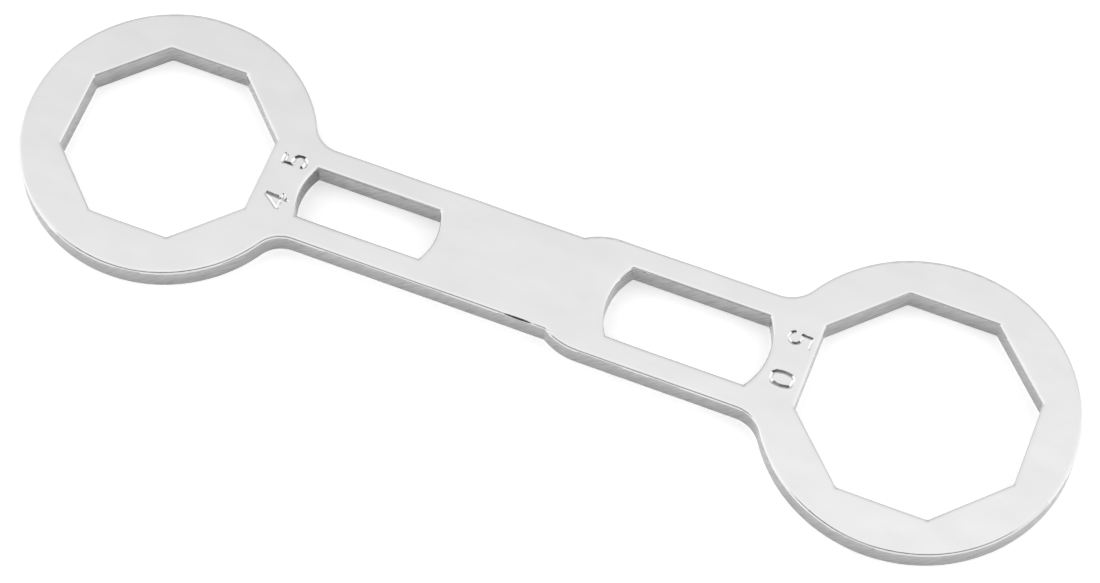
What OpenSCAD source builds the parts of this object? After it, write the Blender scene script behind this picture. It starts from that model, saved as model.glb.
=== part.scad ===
// A double-ended fork cap wrench, cut from one flat plate.
// It lies flat: +X runs to the large opening, +Z is up, and the origin is at the
// middle of the underside.

/* [Openings] */
// Width across the flats of the small opening
small_across = 45.4; // [42:0.1:48]
// Width across the flats of the large opening
large_across = 50.6; // [48:0.1:53]
// Distance between the centres of the two openings
spacing = 180; // [160:1:220]

/* [Plate] */
// Thickness of the plate
plate_t = 6; // [4:0.5:10]
// Radius of the round head at the small opening
small_head_r = 34; // [31:0.5:40]
// Radius of the round head at the large opening
large_head_r = 36; // [33:0.5:42]

/* [Handle] */
// Width of the handle's narrow half, at the small head
narrow_w = 25; // [22:0.5:28]
// Width of the handle's wide half, at the large head
wide_w = 30; // [29:0.5:36]
// Sideways shift of the handle from the line through the openings
handle_shift = -0.5; // [-1.5:0.1:1.5]
// Radius of the hollow between the small head and the handle
small_neck_r = 7; // [4:0.5:12]
// Radius of the hollow between the large head and the handle
large_neck_r = 8; // [4:0.5:12]

/* [Slots] */
// Width of the slot in the narrow half
narrow_slot_w = 13; // [8:0.5:16]
// Length of the slot in the narrow half
narrow_slot_l = 33; // [29:0.5:38]
// Radius of the bowed ends of the narrow slot
narrow_bow_r = 14; // [9:0.5:14]
// Width of the slot in the wide half
wide_slot_w = 18; // [12:0.5:22]
// Length of the slot in the wide half
wide_slot_l = 38; // [33:0.5:42]
// Radius of the bowed ends of the wide slot
wide_bow_r = 16; // [12:0.5:16]
// Metal between the small opening and its slot
narrow_web = 10; // [8:0.5:14]
// Metal between the large opening and its slot
wide_web = 9.6; // [8:0.2:14]

/* [Size numbers] */
// Height of a stamped digit
digit_h = 5.6; // [4.6:0.1:6.2]
// Width of a stamped digit
digit_w = 4; // [3.4:0.1:4.4]
// Distance between the middles of the two digits
digit_pitch = 10.6; // [6:0.1:12]
// Width of a stamped stroke at the face
stroke_w = 0.8; // [0.5:0.1:1]
// Depth of a stamped stroke
stroke_depth = 0.3; // [0.2:0.1:0.5]
// Distance from the small opening's flat to the middle of its number
small_number_in = 5.9; // [4.5:0.1:6]
// Distance from the large opening's flat to the middle of its number
large_number_in = 4.7; // [4:0.1:6]

/* [Hidden] */
$fn = 180;

// Places along the length: the plate's two ends lie equally far from the origin
small_x = (small_head_r - large_head_r - spacing) / 2;
large_x = small_x + spacing;
middle_x = (small_x + large_x) / 2;
// The wide half ends in a full round, with its tip midway between the openings
round_x = middle_x + wide_w / 2;
small_flat_x = small_x + small_across / 2;
large_flat_x = large_x - large_across / 2;
narrow_slot_x = small_flat_x + narrow_web;
wide_slot_x = large_flat_x - wide_web - wide_slot_l;
// Each neck's arc runs this deep into the head and the handle, so that it crosses
// their edges instead of only touching them
neck_overlap = 0.002;

// A digit's height and width between the middles of its outer strokes
cell_h = digit_h - stroke_w;
cell_w = digit_w - stroke_w;
// Shares of the cell: the radius of the 5's bowl, and the places of the 4's two bars
bowl_share = 0.32;
stem_share = 0.72;
bar_share = 0.24;
// The bowl of the digit 5 starts and ends at these angles
bowl_start = -145;
bowl_end = 145;
// A stroke runs on past its ends by this share of its width, so that strokes which
// meet also cross, and end just short of each other's far edges
run_on_share = 0.42;

// Eight flats about the origin, one of them facing the handle
module opening(across) {
    rotate(45 / 2) circle(across / 2 / cos(45 / 2), $fn = 8);
}

// A slot from x = 0 to x = l, with straight sides and bowed ends
module slot(l, w, bow_r) {
    intersection() {
        translate([0, -w / 2]) square([l, w]);
        union() {
            translate([bow_r, 0]) circle(bow_r);
            translate([l - bow_r, 0]) circle(bow_r);
            translate([bow_r, -bow_r]) square([l - 2 * bow_r, 2 * bow_r]);
        }
    }
}

// Fills the corner between a head at the origin and the handle, whose edge is at
// y = half, and hollows it to an arc that meets both of them smoothly
module neck(head_r, half, neck_r) {
    reach = sqrt(pow(head_r + neck_r, 2) - pow(half + neck_r, 2));
    centre = [reach, half + neck_r];
    difference() {
        polygon([[0, 0], [reach, 0], centre]);
        translate(centre) circle(neck_r + neck_overlap);
    }
}

// A round head at the origin with the two necks that join it to the shifted handle
module head(head_r, w, neck_r) {
    circle(head_r);
    neck(head_r, w / 2 + handle_shift, neck_r);
    mirror([0, 1]) neck(head_r, w / 2 - handle_shift, neck_r);
}

module handle() {
    translate([small_x, -narrow_w / 2]) square([round_x - small_x, narrow_w]);
    translate([round_x, -wide_w / 2]) square([large_x - round_x, wide_w]);
    translate([round_x, 0]) circle(wide_w / 2);
}

// The plate as it is cut, seen from above
module outline() {
    difference() {
        union() {
            translate([small_x, 0]) head(small_head_r, narrow_w, small_neck_r);
            translate([large_x, 0])
                mirror([1, 0]) head(large_head_r, wide_w, large_neck_r);
            translate([0, handle_shift]) handle();
        }
        translate([small_x, 0]) opening(small_across);
        translate([large_x, 0]) opening(large_across);
        translate([narrow_slot_x, handle_shift])
            slot(narrow_slot_l, narrow_slot_w, narrow_bow_r);
        translate([wide_slot_x, handle_shift])
            slot(wide_slot_l, wide_slot_w, wide_bow_r);
    }
}

// V-shaped section of a stamped stroke, with the plate's face at y = 0. It runs on
// above the face for as much as it goes below, at the same slope.
module stroke_profile() {
    polygon([[0, -stroke_depth], [stroke_w, stroke_depth], [-stroke_w, stroke_depth]]);
}

// A straight stroke between two points of the digit's cell
module stroke(from, to, run_on = run_on_share * stroke_w) {
    run = to - from;
    translate([from[0], from[1], plate_t])
        rotate([90, 0, 90 + atan2(run[1], run[0])])
            translate([0, 0, -run_on])
                linear_extrude(norm(run) + 2 * run_on) stroke_profile();
}

// A curved stroke about a point of the digit's cell
module curved_stroke(centre, r, from, to) {
    translate([centre[0], centre[1], plate_t])
        rotate([0, 0, from])
            rotate_extrude(angle = to - from)
                translate([r, 0]) stroke_profile();
}

module digit_4() {
    stem_x = (stem_share - 1 / 2) * cell_w;
    bar_y = (bar_share - 1 / 2) * cell_h;
    top = [stem_x, cell_h / 2];
    stroke([stem_x, -cell_h / 2], top);
    stroke([-cell_w / 2, bar_y], top);
    stroke([-cell_w / 2, bar_y], [cell_w / 2, bar_y]);
}

module digit_5() {
    r = bowl_share * cell_h;
    centre = [cell_w / 2 - r, r - cell_h / 2];
    back_x = centre[0] + r * cos(bowl_end);
    back_y = centre[1] + r * sin(bowl_end);
    stroke([back_x, back_y], [back_x, cell_h / 2]);
    stroke([back_x, cell_h / 2], [cell_w / 2, cell_h / 2]);
    curved_stroke(centre, r, bowl_start, bowl_end);
}

module digit_0() {
    r = cell_w / 2;
    end_y = cell_h / 2 - r;
    curved_stroke([0, end_y], r, 0, 180);
    curved_stroke([0, -end_y], r, 180, 360);
    stroke([-r, -end_y], [-r, end_y], 0);
    stroke([r, -end_y], [r, end_y], 0);
}

// Two digits side by side, read with the opening at the top
module number_45() {
    translate([-digit_pitch / 2, 0, 0]) digit_4();
    translate([digit_pitch / 2, 0, 0]) digit_5();
}

module number_50() {
    translate([-digit_pitch / 2, 0, 0]) digit_5();
    translate([digit_pitch / 2, 0, 0]) digit_0();
}

// The whole wrench is one piece of plated steel plate
module wrench_plate() {
    color([0.84, 0.84, 0.85])
        difference() {
            linear_extrude(plate_t) outline();
            translate([small_flat_x + small_number_in, 0, 0])
                rotate([0, 0, 90]) number_45();
            translate([large_flat_x - large_number_in, 0, 0])
                rotate([0, 0, -90]) number_50();
        }
}

wrench_plate();
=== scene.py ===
import math

import bmesh
import bpy
from mathutils import Matrix, Vector, noise


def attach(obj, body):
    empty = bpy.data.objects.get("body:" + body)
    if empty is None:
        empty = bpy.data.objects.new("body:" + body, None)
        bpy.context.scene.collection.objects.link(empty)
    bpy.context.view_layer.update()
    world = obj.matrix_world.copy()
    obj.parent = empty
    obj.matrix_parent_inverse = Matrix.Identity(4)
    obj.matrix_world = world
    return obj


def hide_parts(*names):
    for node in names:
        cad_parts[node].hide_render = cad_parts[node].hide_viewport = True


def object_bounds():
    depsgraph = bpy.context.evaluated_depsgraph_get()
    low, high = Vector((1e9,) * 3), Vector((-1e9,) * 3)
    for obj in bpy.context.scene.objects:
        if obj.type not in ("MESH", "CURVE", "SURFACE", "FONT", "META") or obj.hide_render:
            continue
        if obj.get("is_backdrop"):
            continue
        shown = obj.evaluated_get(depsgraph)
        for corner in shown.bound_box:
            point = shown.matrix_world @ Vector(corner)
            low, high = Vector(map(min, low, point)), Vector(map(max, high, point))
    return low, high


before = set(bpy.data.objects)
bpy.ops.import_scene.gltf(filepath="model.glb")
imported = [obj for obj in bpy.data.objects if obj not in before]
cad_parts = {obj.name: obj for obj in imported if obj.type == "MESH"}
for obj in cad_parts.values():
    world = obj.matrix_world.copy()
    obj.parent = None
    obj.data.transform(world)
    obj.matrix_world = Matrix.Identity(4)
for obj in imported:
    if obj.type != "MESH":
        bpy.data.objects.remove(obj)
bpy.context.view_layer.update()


# Camera
# The wrench is looked down on from in front and a little to its right, through a long
# lens, with the camera tipped slightly to one side.
camera_azimuth = math.radians(19.714)
camera_elevation = math.radians(62.840)
camera_tip = math.radians(1.732)
camera_distance = 0.8193
camera_lens = 119.31
sensor_width = 36.0
looked_at = Vector((0.00248, -0.00100, 0.0))

back = Vector((
    math.sin(camera_azimuth) * math.cos(camera_elevation),
    -math.cos(camera_azimuth) * math.cos(camera_elevation),
    math.sin(camera_elevation),
))
level_right = Vector((math.cos(camera_azimuth), math.sin(camera_azimuth), 0.0))
level_up = level_right.cross(-back)
camera_right = math.cos(camera_tip) * level_right + math.sin(camera_tip) * level_up
camera_up = math.cos(camera_tip) * level_up - math.sin(camera_tip) * level_right

bpy.ops.object.camera_add(location=looked_at + camera_distance * back)
camera = bpy.context.object
camera.name = "camera"
camera.data.sensor_width = sensor_width
camera.data.lens = camera_lens
camera.data.clip_start = 0.01
camera.data.clip_end = 100.0
turn = Matrix((camera_right, camera_up, back)).transposed()
camera.rotation_mode = "QUATERNION"
camera.rotation_quaternion = turn.to_quaternion()
bpy.context.scene.camera = camera


# Floor
# A wide sheet of matt white card that the wrench lies on. It takes the wrench's soft
# shadow, and runs on far enough to reach the horizon.
floor_size = 40.0
floor_drop = 0.00002
card_white = 0.94
card_roughness = 0.9
card_shine = 0.1
seen_lift = 0.42

bpy.ops.object.select_all(action="DESELECT")
bpy.ops.mesh.primitive_plane_add(size=floor_size, location=(0.0, 0.0, -floor_drop))
floor = bpy.context.object
floor.name = "floor"
bpy.ops.object.transform_apply(location=True, rotation=True, scale=True)


def calculated(tree, operation, *inputs):
    """The output of a new math node. Each input is a number or another node's output."""
    node = tree.nodes.new("ShaderNodeMath")
    node.operation = operation
    for socket, value in zip(node.inputs, inputs):
        if isinstance(value, bpy.types.NodeSocket):
            tree.links.new(value, socket)
        else:
            socket.default_value = value
    return node.outputs["Value"]


card = bpy.data.materials.new("white_card")
card.use_nodes = True
tree = card.node_tree
paper = tree.nodes["Principled BSDF"]
paper.inputs["Base Color"].default_value = (card_white, card_white, card_white, 1.0)
paper.inputs["Roughness"].default_value = card_roughness
paper.inputs["Specular IOR Level"].default_value = card_shine
rays = tree.nodes.new("ShaderNodeLightPath")
seen = calculated(tree, "MAXIMUM", rays.outputs["Is Camera Ray"], rays.outputs["Is Glossy Ray"])
seen = calculated(tree, "MAXIMUM", seen, rays.outputs["Is Transmission Ray"])
paper.inputs["Emission Color"].default_value = (1.0, 1.0, 1.0, 1.0)
tree.links.new(calculated(tree, "MULTIPLY", seen, seen_lift), paper.inputs["Emission Strength"])
floor.data.materials.append(card)
floor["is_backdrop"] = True


# Light
# A white light tent over the wrench, with a bright lamp behind the cloth on either side.
# It falls off towards the back, and has a long dark slit in front, where the camera
# looks in.
tent_level = 1.595
tent_slope = (0.39, -1.226, 0.0)
tent_dimmest = 0.69
tent_brightest = 1.08
side_lamp = 0.22
lamp_aside = (0.75, 0.45)
lamp_up = (0.40, 0.26)
slit_axis = (-0.108, 0.307, 0.945)
slit_across = 0.53
slit_width = (0.13, 0.24)
slit_ends = ((0.629, -0.777, 0.0), (-0.371, -0.900, 0.231))
slit_end_fade = 0.03
slit_dim = 0.07

world = bpy.data.worlds.new("light_tent")
bpy.context.scene.world = world
world.use_nodes = True
tree = world.node_tree
tree.nodes.clear()


def along(tree, direction, axis):
    """How far a direction reaches along an axis."""
    node = tree.nodes.new("ShaderNodeVectorMath")
    node.operation = "DOT_PRODUCT"
    tree.links.new(direction, node.inputs[0])
    node.inputs[1].default_value = axis
    return node.outputs["Value"]


def faded(tree, value, full, none, amount=1.0):
    """Amount where the value is at full, which fades smoothly to nothing at none."""
    node = tree.nodes.new("ShaderNodeMapRange")
    node.interpolation_type = "SMOOTHSTEP"
    tree.links.new(value, node.inputs["Value"])
    node.inputs["From Min"].default_value = none
    node.inputs["From Max"].default_value = full
    node.inputs["To Max"].default_value = amount
    return node.outputs["Result"]


direction = tree.nodes.new("ShaderNodeTexCoord").outputs["Generated"]
slope = along(tree, direction, tent_slope)
cloth = calculated(tree, "ADD", slope, tent_level)
cloth = calculated(tree, "MAXIMUM", cloth, tent_dimmest)
cloth = calculated(tree, "MINIMUM", cloth, tent_brightest)
to_side = calculated(tree, "ABSOLUTE", along(tree, direction, (1.0, 0.0, 0.0)))
high = faded(tree, along(tree, direction, (0.0, 0.0, 1.0)), *lamp_up)
lamps = calculated(tree, "MULTIPLY", high, faded(tree, to_side, *lamp_aside, side_lamp))
cloth = calculated(tree, "ADD", cloth, lamps)

aside = calculated(tree, "SUBTRACT", along(tree, direction, slit_axis), slit_across)
aside = calculated(tree, "ABSOLUTE", aside)
in_slit = faded(tree, aside, *slit_width, 1.0 - slit_dim)
for end in slit_ends:
    before_end = faded(tree, along(tree, direction, end), slit_end_fade, -slit_end_fade)
    in_slit = calculated(tree, "MULTIPLY", in_slit, before_end)
strength = calculated(tree, "MULTIPLY", cloth, calculated(tree, "SUBTRACT", 1.0, in_slit))
tent = tree.nodes.new("ShaderNodeBackground")
tent.inputs["Color"].default_value = (1.0, 1.0, 1.0, 1.0)
tree.links.new(strength, tent.inputs["Strength"])
world_out = tree.nodes.new("ShaderNodeOutputWorld")
tree.links.new(tent.outputs["Background"], world_out.inputs["Surface"])


# Wrench plate
# One flat bar of steel plate, cut to its outline together with the two octagons and the
# two slots. Its rims and corners are broken by hand, and it is plated bright all over.
plate_t = 0.00595
outer_rim_round = 0.00050
inner_rim_round = 0.00042
rim_steps = 4
border = 0.0010
octagon_corner = 0.0004
slot_corner = 0.0002
step_corner = 0.0003

small_x = -0.091
large_x = 0.089
small_head_r = 0.034
large_head_r = 0.036
small_across = 0.0454
large_across = 0.0506
handle_y = -0.0005
narrow_half = 0.0125
wide_half = 0.015
round_x = 0.014
small_neck_r = 0.007
large_neck_r = 0.008
narrow_slot = {"x": -0.0583, "length": 0.033, "half": 0.0065, "bow_r": 0.014}
wide_slot = {"x": 0.0161, "length": 0.038, "half": 0.009, "bow_r": 0.016}
chord = 0.0008
same_point = 0.00001

bpy.ops.object.select_all(action="DESELECT")
bpy.ops.mesh.primitive_plane_add(size=chord, location=(0.0, 0.0, 0.0))
plate = bpy.context.object
plate.name = "wrench_body"
bpy.ops.object.mode_set(mode="EDIT")
bpy.ops.mesh.select_mode(type="VERT")
bpy.ops.mesh.delete(type="VERT")


def start_at(x, y):
    """Puts down the first point of a new line, and leaves it selected."""
    bpy.ops.mesh.select_all(action="DESELECT")
    bpy.ops.mesh.primitive_plane_add(size=chord, location=(x, y, 0.0))
    bpy.ops.mesh.merge(type="CENTER")


def draw_to(x, y, longest=1.0):
    """Draws a straight line on from the selected point, in equal pieces."""
    mesh = bmesh.from_edit_mesh(bpy.context.edit_object.data)
    here = next(v.co for v in mesh.verts if v.select)
    run = Vector((x, y, 0.0)) - here
    pieces = math.ceil(run.length / longest)
    for piece in range(pieces):
        bpy.ops.mesh.extrude_region_move(TRANSFORM_OT_translate={"value": run / pieces})


def swing(x, y, r, angle):
    """Swings the selected point about (x, y), anticlockwise, and draws the arc it follows."""
    bpy.ops.mesh.spin(
        steps=max(2, math.ceil(r * abs(angle) / chord)),
        angle=-angle,
        center=(x, y, 0.0),
        axis=(0.0, 0.0, 1.0),
        use_auto_merge=False,
    )


def draw_head(x, r, half, neck_r, side):
    """Draws on from one edge of the handle, round a head and its two necks, to the other
    edge. side is 1 for the head at +X, and -1 for the other."""
    first = half - side * handle_y
    last = half + side * handle_y
    first_angle = math.asin((first + neck_r) / (r + neck_r))
    last_angle = math.asin((last + neck_r) / (r + neck_r))
    first_x = x - side * (r + neck_r) * math.cos(first_angle)
    last_x = x - side * (r + neck_r) * math.cos(last_angle)
    draw_to(first_x, -side * first)
    swing(first_x, -side * (first + neck_r), neck_r, first_angle - math.pi / 2)
    swing(x, 0.0, r, 2 * math.pi - first_angle - last_angle)
    swing(last_x, side * (last + neck_r), neck_r, last_angle - math.pi / 2)


def draw_slot(x, length, half, bow_r):
    """Draws a slot from x on, with straight sides and bowed ends."""
    bow = math.asin(half / bow_r)
    side_x = x + bow_r * (1 - math.cos(bow))
    start_at(side_x, handle_y + half)
    swing(x + bow_r, handle_y, bow_r, 2 * bow)
    draw_to(x + length - (side_x - x), handle_y - half)
    swing(x + length - bow_r, handle_y, bow_r, 2 * bow)
    draw_to(side_x, handle_y + half)


# The outline, anticlockwise from the top of the step between the handle's two halves
step_angle = math.acos(narrow_half / wide_half)
step_x = round_x - wide_half * math.sin(step_angle)
start_at(round_x, handle_y + wide_half)
swing(round_x, handle_y, wide_half, step_angle)
draw_head(small_x, small_head_r, narrow_half, small_neck_r, -1)
draw_to(step_x, handle_y - narrow_half)
swing(round_x, handle_y, wide_half, step_angle)
draw_head(large_x, large_head_r, wide_half, large_neck_r, 1)
draw_to(round_x, handle_y + wide_half)
draw_slot(**narrow_slot)
draw_slot(**wide_slot)
for x, across in ((small_x, small_across), (large_x, large_across)):
    bpy.ops.mesh.primitive_circle_add(
        vertices=8,
        radius=across / 2 / math.cos(math.pi / 8),
        location=(x, 0.0, 0.0),
        rotation=(0.0, 0.0, math.pi / 8),
    )
bpy.ops.mesh.select_all(action="SELECT")
bpy.ops.mesh.remove_doubles(threshold=same_point)


def round_corners(cut, inside):
    """Rounds each corner of the lines whose place passes the test, from cut before the
    corner to cut after it."""
    bpy.ops.mesh.select_all(action="DESELECT")
    mesh = bmesh.from_edit_mesh(plate.data)
    for v in mesh.verts:
        before, after = (e.other_vert(v).co - v.co for e in v.link_edges)
        v.select = before.angle(after) < corner_angle and inside(v.co)
    bmesh.update_edit_mesh(plate.data)
    bpy.ops.mesh.bevel(affect="VERTICES", offset=cut, segments=4, profile=0.5)


corner_angle = math.radians(155)
round_corners(octagon_corner, lambda p: abs(p.x - small_x) < small_head_r)
round_corners(octagon_corner, lambda p: abs(p.x - large_x) < large_head_r)
round_corners(step_corner, lambda p: abs(p.x - step_x) < chord)
round_corners(slot_corner, lambda p: abs(p.y) < wide_slot["half"] - handle_y)


def pick_faces(test):
    """Selects the plate's faces that pass the test, and nothing else."""
    bpy.ops.mesh.select_all(action="DESELECT")
    mesh = bmesh.from_edit_mesh(plate.data)
    for face in mesh.faces:
        face.select_set(test(face))
    bmesh.update_edit_mesh(plate.data)


def pick_edges(test):
    """Selects the plate's edges that pass the test, and nothing else."""
    bpy.ops.mesh.select_all(action="DESELECT")
    mesh = bmesh.from_edit_mesh(plate.data)
    for edge in mesh.edges:
        edge.select_set(test(edge))
    bmesh.update_edit_mesh(plate.data)


def in_order():
    """Numbers the plate's points, edges and faces by their distance from a place off to one
    side. Extrude and bisect number them anew each run, and the booleans would then split
    the uneven faces in another way each time."""
    bpy.context.scene.cursor.location = order_from
    bpy.ops.mesh.select_all(action="SELECT")
    bpy.ops.mesh.sort_elements(type="CURSOR_DISTANCE", elements={"VERT", "EDGE", "FACE"})


# The outline is filled, drawn up to its thickness, and its two faces given a narrow
# border that the rims can be rounded in
order_from = (0.31, -0.17, 0.53)
bpy.ops.mesh.select_all(action="SELECT")
bpy.ops.mesh.fill(use_beauty=True)
bpy.ops.mesh.dissolve_limited(angle_limit=math.radians(0.1))
bpy.ops.mesh.select_all(action="SELECT")
bpy.ops.mesh.extrude_region_move(TRANSFORM_OT_translate={"value": (0.0, 0.0, plate_t)})
in_order()
bpy.ops.mesh.normals_make_consistent(inside=False)
bpy.ops.mesh.select_mode(type="FACE")
pick_faces(lambda f: abs(f.normal.z) > 0.9)
bpy.ops.mesh.inset(thickness=border, use_even_offset=True, use_boundary=True)


def inside(place):
    """Tells an opening or slot and its rims from the outside of the plate."""
    across = abs(place.y - handle_y)
    return (
        math.hypot(place.x - small_x, place.y) < small_head_r - 2 * border
        or math.hypot(place.x - large_x, place.y) < large_head_r - 2 * border
        or small_x < place.x < 0.0 and across < narrow_slot["half"] + border
        or 0.0 < place.x < large_x and across < wide_slot["half"] + border
    )


def sharp(edge):
    """Tells an edge where a wall meets a face."""
    return len(edge.link_faces) == 2 and edge.calc_face_angle() > square_angle


# Its rims are rounded, less so in the openings and slots
square_angle = math.radians(80)
bpy.ops.mesh.select_mode(type="EDGE")
for offset, side in ((inner_rim_round, inside), (outer_rim_round, lambda place: True)):
    pick_edges(lambda e: sharp(e) and side(e.verts[0].co))
    bpy.ops.mesh.bevel(
        affect="EDGES",
        offset=offset,
        offset_type="OFFSET",
        segments=rim_steps,
        profile=0.5,
        clamp_overlap=False,
    )

# A rim that is broken by hand is rounder in one place and flatter in the next. The long
# straight rims are first cut across here and there, well clear of the points they have,
# so that they have points to move.
across_step = 0.0031
clear_step = 0.00008
clear_steps = 12
long_rims = (
    (-0.112, -0.070),
    (-0.056, -0.028),
    (-0.0245, 0.0155),
    (0.0197, 0.0503),
    (0.065, 0.112),
)
taken = [v.co.x for v in bmesh.from_edit_mesh(plate.data).verts]
for first, last in long_rims:
    cuts = round((last - first) / across_step)
    for cut in range(cuts):
        even = first + (cut + 0.5) * (last - first) / cuts
        near = [even + shift * clear_step for shift in range(-clear_steps, clear_steps + 1)]
        clear = max(near, key=lambda x: min(abs(x - point) for point in taken))
        bpy.ops.mesh.select_all(action="SELECT")
        bpy.ops.mesh.bisect(
            plane_co=(clear, 0.0, 0.0),
            plane_no=(1.0, 0.0, 0.0),
            threshold=same_point / 10,
        )
in_order()
bpy.ops.object.mode_set(mode="OBJECT")
rim_flattening = 0.00011
flattened_mean = 0.4
flattened_spread = 0.6
wander = 0.011
rim_lowest = 0.3
rim_highest = 0.95
rims = plate.vertex_groups.new(name="rims")
for vertex in plate.data.vertices:
    if rim_lowest < abs(vertex.normal.z) < rim_highest:
        flattened = flattened_mean + flattened_spread * noise.noise(vertex.co / wander)
        rims.add([vertex.index], min(max(flattened, 0.0), 1.0), "REPLACE")
bpy.ops.object.modifier_add(type="DISPLACE")
flattening = plate.modifiers[-1]
flattening.vertex_group = rims.name
flattening.direction = "NORMAL"
flattening.mid_level = 0.0
flattening.strength = -rim_flattening
bpy.ops.object.modifier_apply(modifier=flattening.name)
plate.vertex_groups.clear()

# The two size numbers are stamped by hand, one digit at a time, so each sits a little
# differently and goes in to its own depth. A digit is drawn as the lines that the punch's
# edge follows.
lip_reach = 0.0003
lip_high = 0.00008
turn_r = 0.005
stroke_piece = 0.0004
unevenness = 0.32
uneven_length = 0.0007
face_clear = 0.00001
taper = 0.0004
stroke_end = 0.2
lip_end = 0.0


class Digit:
    """A digit about (x, y) whose top points along up, given as an angle from +X. Its
    strokes are drawn one by one, in millimetres of the digit."""

    def __init__(self, x, y, up, width, deep):
        self.middle = Vector((x, y))
        self.up = Vector((math.cos(up), math.sin(up)))
        self.right = Vector((math.sin(up), -math.cos(up)))
        self.width = width
        self.deep = deep
        bpy.ops.object.select_all(action="DESELECT")
        bpy.ops.mesh.primitive_plane_add(size=chord, location=(0.0, 0.0, 0.0))
        self.wire = bpy.context.object
        bpy.ops.object.mode_set(mode="EDIT")
        bpy.ops.mesh.select_mode(type="VERT")
        bpy.ops.mesh.delete(type="VERT")

    def at(self, point):
        """The place on the plate of a point given in millimetres of the digit."""
        return self.middle + 0.001 * (point[0] * self.right + point[1] * self.up)

    def straight(self, first, last):
        """A straight stroke, with a point near each end where its taper starts."""
        a, b = self.at(first), self.at(last)
        inward = taper * (b - a).normalized()
        start_at(*a)
        draw_to(*(a + inward))
        draw_to(*(b - inward), longest=stroke_piece)
        draw_to(*b)

    def turning(self, middle, angle):
        """Draws on from the last point, which swings about middle by angle."""
        swing(*self.at(middle), turn_r, angle)

    def done(self):
        """Joins the strokes' ends where they meet, and leaves the digit."""
        bpy.ops.mesh.select_all(action="SELECT")
        bpy.ops.mesh.remove_doubles(threshold=same_point)
        bpy.ops.object.mode_set(mode="OBJECT")
        return self


def four(**struck):
    """A 4 with an open top."""
    digit = Digit(**struck)
    digit.straight((0.7, -3.0), (0.7, 3.0))
    digit.straight((0.8, 3.0), (-2.2, -1.3))
    digit.straight((-2.3, -1.3), (2.2, -1.3))
    return digit.done()


def five(bar_end, bowl_turn, bar_twice, **struck):
    """A 5 whose bar ends at bar_end, with a bowl that turns by bowl_turn. The punch may
    have jumped, so that the bar is there twice."""
    digit = Digit(**struck)
    digit.straight((bar_end, 2.8), (-1.6, 2.8))
    if bar_twice:
        digit.straight((bar_end - 0.3, 2.2), (-1.0, 2.15))
    digit.straight((-1.3, 3.1), (-1.3, -0.1))
    bowl, reach, turn_from = Vector((-0.15, -0.95)), 1.47, math.radians(140)
    start_at(*digit.at(bowl + reach * Vector((math.cos(turn_from), math.sin(turn_from)))))
    digit.turning(bowl, -bowl_turn)
    return digit.done()


def zero(**struck):
    """A 0 with tight round ends and slightly bowed sides."""
    digit = Digit(**struck)
    side, end, corner, bulge = 1.5, 2.45, 1.1, 0.2
    straight = end - corner
    bow_r = (straight ** 2 + bulge ** 2) / (2 * bulge)
    bow = 2 * math.asin(straight / bow_r)
    start_at(*digit.at((side, -straight)))
    for way in (1, -1):
        digit.turning((way * (side + bulge - bow_r), 0.0), bow)
        digit.turning((way * (side - corner), way * straight), math.pi / 2)
        draw_to(*digit.at((-way * (side - corner), way * end)))
        digit.turning((-way * (side - corner), way * straight), math.pi / 2)
    return digit.done()


digits = [
    four(x=-0.0626, y=-0.0049, up=math.radians(178), width=0.00105, deep=0.00027),
    five(
        bar_end=1.35, bowl_turn=math.radians(301), bar_twice=True,
        x=-0.0621, y=0.0059, up=math.radians(180), width=0.00105, deep=0.00034,
    ),
    five(
        bar_end=1.6, bowl_turn=math.radians(312), bar_twice=False,
        x=0.05925, y=0.0053, up=math.radians(-2), width=0.00082, deep=0.00022,
    ),
    zero(x=0.05895, y=-0.00525, up=0.0, width=0.00100, deep=0.00026),
]


def tube_of(wire, width, height, middle_z, end):
    """A tube along copies of the wire's lines, a flat diamond in section, which shrinks to
    a share at each open end."""
    bpy.ops.object.select_all(action="DESELECT")
    wire.select_set(True)
    bpy.context.view_layer.objects.active = wire
    bpy.ops.object.duplicate()
    bpy.ops.object.convert(target="CURVE")
    tube = bpy.context.object
    tube.data.dimensions = "3D"
    tube.data.twist_mode = "Z_UP"
    tube.data.bevel_depth = width / 2
    tube.data.bevel_resolution = 0
    tube.data.use_fill_caps = True
    for line in tube.data.splines:
        for point in line.points:
            point.radius = 1.0 + unevenness * noise.noise(point.co.to_3d() / uneven_length)
        if not line.use_cyclic_u:
            line.points[0].radius = line.points[-1].radius = end
    bpy.ops.object.convert(target="MESH")
    bpy.ops.object.mode_set(mode="EDIT")
    bpy.ops.mesh.select_all(action="SELECT")
    bpy.ops.mesh.remove_doubles(threshold=same_point / 10)
    bpy.ops.mesh.normals_make_consistent(inside=False)
    bpy.ops.transform.resize(value=(1.0, 1.0, height / (width / 2)), center_override=(0.0, 0.0, 0.0))
    bpy.ops.transform.translate(value=(0.0, 0.0, middle_z))
    bpy.ops.object.mode_set(mode="OBJECT")
    return tube


def joined(parts, name):
    """Makes one object of several, and leaves it active."""
    bpy.ops.object.select_all(action="DESELECT")
    for part in parts:
        part.select_set(True)
    bpy.context.view_layer.objects.active = parts[0]
    bpy.ops.object.join()
    parts[0].name = name
    return parts[0]


def combine(tool, operation):
    """Joins a tool's shape to the plate or cuts it out, and clears the tool away."""
    bpy.ops.object.select_all(action="DESELECT")
    bpy.context.view_layer.objects.active = plate
    plate.select_set(True)
    bpy.ops.object.modifier_add(type="BOOLEAN")
    boolean = plate.modifiers[-1]
    boolean.operation = operation
    boolean.solver = "EXACT"
    boolean.use_self = True
    boolean.object = tool
    bpy.ops.object.modifier_apply(modifier=boolean.name)
    bpy.data.objects.remove(tool)


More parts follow.
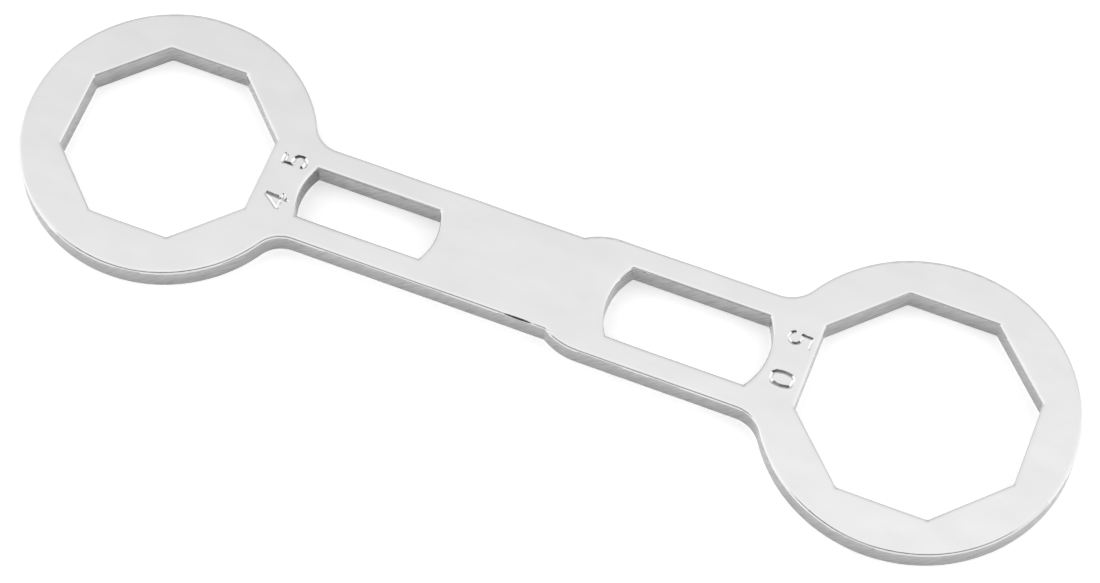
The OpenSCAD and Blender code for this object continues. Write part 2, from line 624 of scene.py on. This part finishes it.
lips = [
    tube_of(d.wire, d.width + 2 * lip_reach, lip_high, plate_t - face_clear, lip_end)
    for d in digits
]
stamps = [tube_of(d.wire, d.width, d.deep, plate_t + face_clear, stroke_end) for d in digits]
combine(joined(lips, "lips"), "UNION")

# Three small pits were there before the plating, and a touch of the grinding wheel left a
# flat on the near rim of the handle's narrow half. All are cut out with the stamps.
pit_r = 0.00035
pit_deep = 0.00008
wheel_r = 0.13
wheel_w = 0.0005
wheel_x = -0.0010
wheel_lean = math.radians(60.0)
wheel_in = 0.000425
wheel_reach = wheel_r / 30

marks = joined(stamps, "marks")
bpy.ops.object.mode_set(mode="EDIT")
for x, y in ((-0.12005, 0.00768), (-0.11413, -0.01999), (-0.0733, 0.01931)):
    pit_at = (x, y, plate_t + pit_r - pit_deep)
    bpy.ops.mesh.primitive_uv_sphere_add(segments=16, ring_count=8, radius=pit_r, location=pit_at)
rim_middle = Vector((
    wheel_x,
    handle_y - narrow_half + outer_rim_round,
    plate_t - outer_rim_round,
))
outward = Vector((0.0, -math.cos(wheel_lean), math.sin(wheel_lean)))
bpy.ops.mesh.primitive_cylinder_add(
    vertices=512,
    radius=wheel_r,
    depth=wheel_w,
    location=rim_middle + (wheel_in + wheel_r) * outward,
    rotation=(-wheel_lean, 0.0, 0.0),
)
bpy.ops.object.mode_set(mode="OBJECT")
combine(marks, "DIFFERENCE")
for digit in digits:
    bpy.data.objects.remove(digit.wire)

bpy.ops.object.shade_smooth_by_angle(angle=math.radians(40))


def on_wheel_flat(face):
    """Tells whether a face was cut by the grinding wheel."""
    away = face.calc_center_median() - rim_middle
    cut_at = wheel_in + away.x ** 2 / (2 * wheel_r)
    return abs(away.x) < wheel_reach and abs(away.dot(outward) - cut_at) < same_point


bpy.ops.object.mode_set(mode="EDIT")
bpy.ops.mesh.select_mode(type="FACE")
pick_faces(on_wheel_flat)
bpy.ops.mesh.region_to_loop()
bpy.ops.mesh.mark_sharp()
bpy.ops.object.mode_set(mode="OBJECT")
bpy.ops.object.modifier_add(type="WEIGHTED_NORMAL")
plate.modifiers[-1].keep_sharp = True
bpy.ops.object.modifier_apply(modifier=plate.modifiers[-1].name)

# Bright plating is never quite even: it has cloudy patches, and a fine grain from the
# steel below. Both are drawn out along the directions that the steel was worked in.
plating = bpy.data.node_groups.new("uneven_plating", "ShaderNodeTree")
for name, kind, value in (
    ("Metal", "NodeSocketColor", (0.835, 0.835, 0.835, 1.0)),
    ("Fall", "NodeSocketFloat", 0.0),
    ("Tilt", "NodeSocketFloat", 0.0),
    ("Patch Stretch", "NodeSocketVector", (80.0, 150.0, 150.0)),
    ("Patch Strength", "NodeSocketFloat", 0.11),
    ("Grain Stretch", "NodeSocketVector", (1500.0, 1500.0, 1500.0)),
    ("Grain Height", "NodeSocketFloat", 0.000004),
    ("Roughness Low", "NodeSocketFloat", 0.08),
    ("Roughness High", "NodeSocketFloat", 0.14),
):
    socket = plating.interface.new_socket(name, in_out="INPUT", socket_type=kind)
    socket.default_value = value
for name, kind in (
    ("Colour", "NodeSocketColor"),
    ("Roughness", "NodeSocketFloat"),
    ("Normal", "NodeSocketVector"),
):
    plating.interface.new_socket(name, in_out="OUTPUT", socket_type=kind)
nodes, links = plating.nodes, plating.links
given = nodes.new("NodeGroupInput")
made = nodes.new("NodeGroupOutput")
place = nodes.new("ShaderNodeTexCoord")
tilted = nodes.new("ShaderNodeVectorRotate")
tilted.rotation_type = "AXIS_ANGLE"
tilted.inputs["Axis"].default_value = (1.0, 1.0, 0.0)
links.new(place.outputs["Object"], tilted.inputs["Vector"])
links.new(given.outputs["Tilt"], tilted.inputs["Angle"])


def stretched_noise(stretch, detail):
    """Noise on the piece's own coordinates, drawn out by one of the group's inputs."""
    stretched = nodes.new("ShaderNodeVectorMath")
    stretched.operation = "MULTIPLY"
    links.new(tilted.outputs["Vector"], stretched.inputs[0])
    links.new(given.outputs[stretch], stretched.inputs[1])
    cloudy = nodes.new("ShaderNodeTexNoise")
    cloudy.inputs["Scale"].default_value = 1.0
    cloudy.inputs["Detail"].default_value = detail
    links.new(stretched.outputs["Vector"], cloudy.inputs["Vector"])
    return cloudy.outputs["Fac"]


patches = stretched_noise("Patch Stretch", 4.0)
grain = stretched_noise("Grain Stretch", 2.0)

# The colour is darker in the patches. On the walls it also falls off from the top to the foot:
# painted shade, for the shadowed floor that the lower part of a wall mirrors
height = nodes.new("ShaderNodeSeparateXYZ")
links.new(place.outputs["Object"], height.inputs["Vector"])
above_middle = calculated(plating, "MULTIPLY_ADD", height.outputs["Z"], 2 / plate_t, -1.0)
foot_shaded = calculated(plating, "MULTIPLY_ADD", above_middle, given.outputs["Fall"], 1.0)
darker = calculated(plating, "MULTIPLY", patches, given.outputs["Patch Strength"])
kept = calculated(plating, "MULTIPLY", foot_shaded, calculated(plating, "SUBTRACT", 1.0, darker))
tinted = nodes.new("ShaderNodeVectorMath")
tinted.operation = "SCALE"
links.new(given.outputs["Metal"], tinted.inputs[0])
links.new(kept, tinted.inputs["Scale"])
links.new(tinted.outputs["Vector"], made.inputs["Colour"])

haze = nodes.new("ShaderNodeMapRange")
haze.inputs["From Min"].default_value = 0.3
haze.inputs["From Max"].default_value = 0.7
links.new(patches, haze.inputs["Value"])
links.new(given.outputs["Roughness Low"], haze.inputs["To Min"])
links.new(given.outputs["Roughness High"], haze.inputs["To Max"])
links.new(haze.outputs["Result"], made.inputs["Roughness"])

bump = nodes.new("ShaderNodeBump")
bump.inputs["Distance"].default_value = 1.0
raised = calculated(plating, "MULTIPLY", grain, given.outputs["Grain Height"])
links.new(raised, bump.inputs["Height"])
links.new(bump.outputs["Normal"], made.inputs["Normal"])


def plated(name, **values):
    """A plated finish with its own values for the group's inputs."""
    material = bpy.data.materials.new(name)
    material.use_nodes = True
    nodes, links = material.node_tree.nodes, material.node_tree.links
    shader = nodes["Principled BSDF"]
    shader.inputs["Metallic"].default_value = 1.0
    coat = nodes.new("ShaderNodeGroup")
    coat.node_tree = plating
    for value_name, value in values.items():
        coat.inputs[value_name.replace("_", " ")].default_value = value
    links.new(coat.outputs["Colour"], shader.inputs["Base Color"])
    links.new(coat.outputs["Roughness"], shader.inputs["Roughness"])
    links.new(coat.outputs["Normal"], shader.inputs["Normal"])
    return material


plate.data.materials.clear()
plate.data.materials.append(plated("plated_face"))
# The rims that face the front get a darker colour, which is painted shade, and a coarser grain.
plate.data.materials.append(plated(
    "plated_rim_shaded",
    Metal=(0.72, 0.72, 0.72, 1.0),
    Grain_Stretch=(1100.0, 1100.0, 1100.0),
    Grain_Height=0.000025,
))
# The cut walls fall off in colour towards their foot, which is painted shade.
plate.data.materials.append(plated(
    "plated_cut_wall",
    Metal=(0.485, 0.485, 0.485, 1.0),
    Fall=0.16,
    Tilt=math.radians(55),
    Patch_Stretch=(250.0, 250.0, 2500.0),
    Patch_Strength=0.55,
    Grain_Stretch=(400.0, 400.0, 3300.0),
    Grain_Height=0.000012,
    Roughness_Low=0.18,
    Roughness_High=0.28,
))
# The slot's first bowed end is rougher, and darker as painted shade.
plate.data.materials.append(plated(
    "plated_shaded_bow_wall",
    Metal=(0.34, 0.34, 0.34, 1.0),
    Fall=0.16,
    Tilt=math.radians(55),
    Patch_Stretch=(900.0, 900.0, 2500.0),
    Patch_Strength=0.7,
    Grain_Stretch=(900.0, 900.0, 2500.0),
    Grain_Height=0.00003,
    Roughness_Low=0.22,
    Roughness_High=0.35,
))

# A finish changes where the surface has turned up, or away from the front, by these shares
# of its normal. The first bowed end of the narrow slot is rough for a short way from its
# tip, and darker there as painted shade in the end of the slot.
wall_tilt = 0.35
far_wall_tilt = 0.75
rim_tilt = 0.985
turned_back = 0.35
turned_left = 0.4
shaded_bow_length = 0.0018


def to_front(face):
    """Tells the sides that face the front, which is -Y, or the right of it."""
    level = face.normal.xy.length
    return face.normal.y < -turned_back * level and face.normal.x > -turned_left * level


def front_rim_shade(face):
    """Tells the rims that face the front. Their colour is darker than that of the faces, the other
    rims and the stamped strokes, which is painted shade, and their grain is coarser."""
    place = face.calc_center_median().xy
    stamped = any((place - digit.middle).length < turn_r for digit in digits)
    return wall_tilt < abs(face.normal.z) < rim_tilt and to_front(face) and not stamped


def cut_wall(face):
    """Tells the cut walls. On the far sides of the openings and slots, which face the
    front, their darker finish runs on up the rims as a painted dark line of shade."""
    shaded_up_rim = inside(face.calc_center_median()) and to_front(face)
    return abs(face.normal.z) < (far_wall_tilt if shaded_up_rim else wall_tilt)


def shaded_bow_wall(face):
    """Tells the slot's first bowed end, where the cutter went in, from the other walls. It is
    rougher there, and its darker colour is painted shade in the slot's end.
    """
    middle = face.calc_center_median()
    on_bow = (
        -chord < middle.x - narrow_slot["x"] < shaded_bow_length
        and abs(middle.y) < narrow_slot["half"] - handle_y
    )
    return on_bow and abs(face.normal.z) < wall_tilt


bpy.ops.object.mode_set(mode="EDIT")
bpy.ops.mesh.select_mode(type="FACE")
for slot, test in enumerate((
    lambda f: True,
    front_rim_shade,
    cut_wall,
    shaded_bow_wall,
)):
    pick_faces(test)
    plate.active_material_index = slot
    bpy.ops.object.material_slot_assign()
bpy.ops.object.mode_set(mode="OBJECT")

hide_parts("wrench_plate")
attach(plate, "root")

bpy.context.scene.view_settings.view_transform = "Standard"
low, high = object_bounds()
